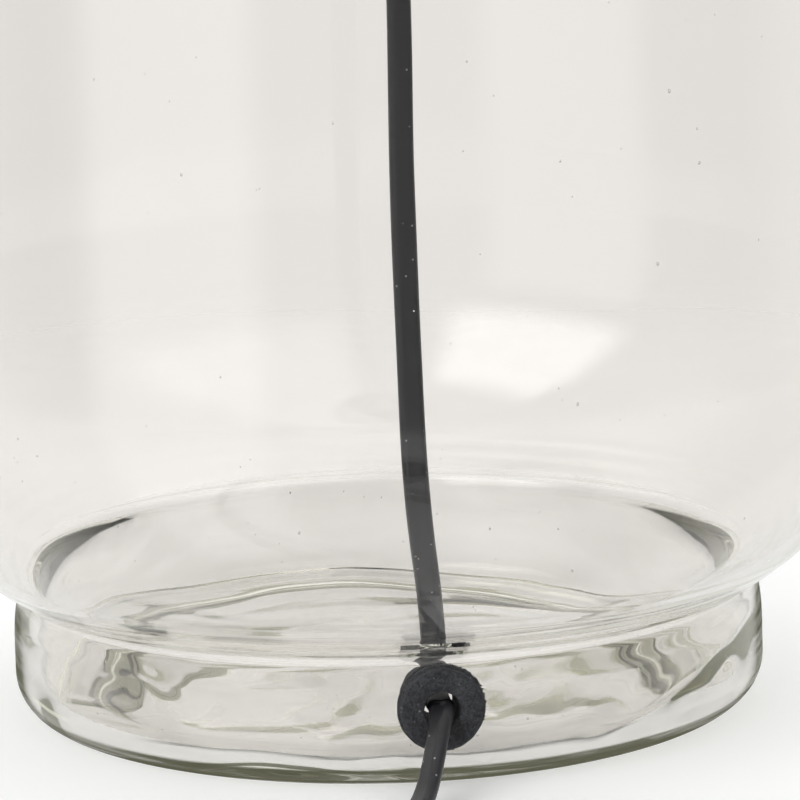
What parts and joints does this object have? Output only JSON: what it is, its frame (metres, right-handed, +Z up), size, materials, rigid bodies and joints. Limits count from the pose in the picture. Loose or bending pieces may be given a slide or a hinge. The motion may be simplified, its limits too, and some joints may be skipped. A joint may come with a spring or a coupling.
{
  "type": "glass table lamp",
  "caption": "Table lamp base: clear blown-glass body on a stepped foot, lead inside, screw lampholder, in-line rocker switch, coiled lead and flat plug.",
  "frame": {"origin": "middle of the foot's underside, on the surface that the lamp stands on", "axes": "+Z up along the lamp's axis; the lead leaves the foot on the -Y side; +X to the right seen from there"},
  "size_m": [0.2426, 0.375, 0.4855],
  "materials": {
    "clear_glass": "clear mouth-blown, faint green in the thick parts",
    "black_rubber": "matt moulded",
    "black_pvc": "satin extruded",
    "black_plastic": "moulded, fine texture",
    "black_metal": "satin black paint",
    "zinc_steel": "zinc plated",
    "brass": "bright turned",
    "nickel": "nickel plated",
    "ceramic": "glazed white insulator",
    "brown_core": "brown wire insulation",
    "blue_core": "blue wire insulation"
  },
  "bodies": {
    "lamp": {"glass_body": "clear_glass", "cord_grommet": "black_rubber", "inner_lead": "black_pvc", "neck_bung": "black_rubber", "bung_washer": "zinc_steel", "bung_nut": "brass", "threaded_tube": "zinc_steel", "tube_bushing": "black_plastic", "neck_seal": "black_rubber", "neck_cap": "black_metal", "cap_nut": "brass", "stem_sleeve": "black_metal", "holder_cap": "black_plastic", "cap_lock_screw": "zinc_steel", "cord_grip": "black_plastic", "grip_screw": "zinc_steel", "holder_core": "ceramic", "holder_skirt": "black_plastic", "thread_shell": "nickel", "centre_contact": "brass", "side_contact": "brass", "live_terminal": "brass", "live_terminal_screw": "nickel", "live_rivet": "brass", "live_core": "brown_core", "neutral_terminal": "brass", "neutral_terminal_screw": "nickel", "neutral_rivet": "brass", "neutral_core": "blue_core", "outer_lead": "black_pvc", "lead_link": "black_pvc", "lead_coil": "black_pvc", "lead_tail": "black_pvc", "switch_base": "black_plastic", "switch_cover": "black_plastic", "blade_in": "brass", "blade_out": "brass", "through_core": "blue_core", "switch_screw_left": "zinc_steel", "switch_screw_right": "zinc_steel", "plug_body": "black_plastic", "plug_relief": "black_rubber", "plug_pin_left": "nickel", "plug_pin_right": "nickel"},
    "ring": {"shade_ring": "black_plastic"},
    "rocker": {"switch_rocker": "black_plastic", "rocker_contact": "brass"}
  },
  "joints": [
    {"name": "shade_ring_travel", "type": "slide", "parent": "lamp", "child": "ring", "axis": [0, 0, 1], "range_m": [0, 0.012]},
    {"name": "rocker_tilt", "type": "hinge", "parent": "lamp", "child": "rocker", "pos_m": [-0.032, -0.242, 0.0138], "axis": [0, 1, 0], "range_deg": [0, 16]}
  ]
}
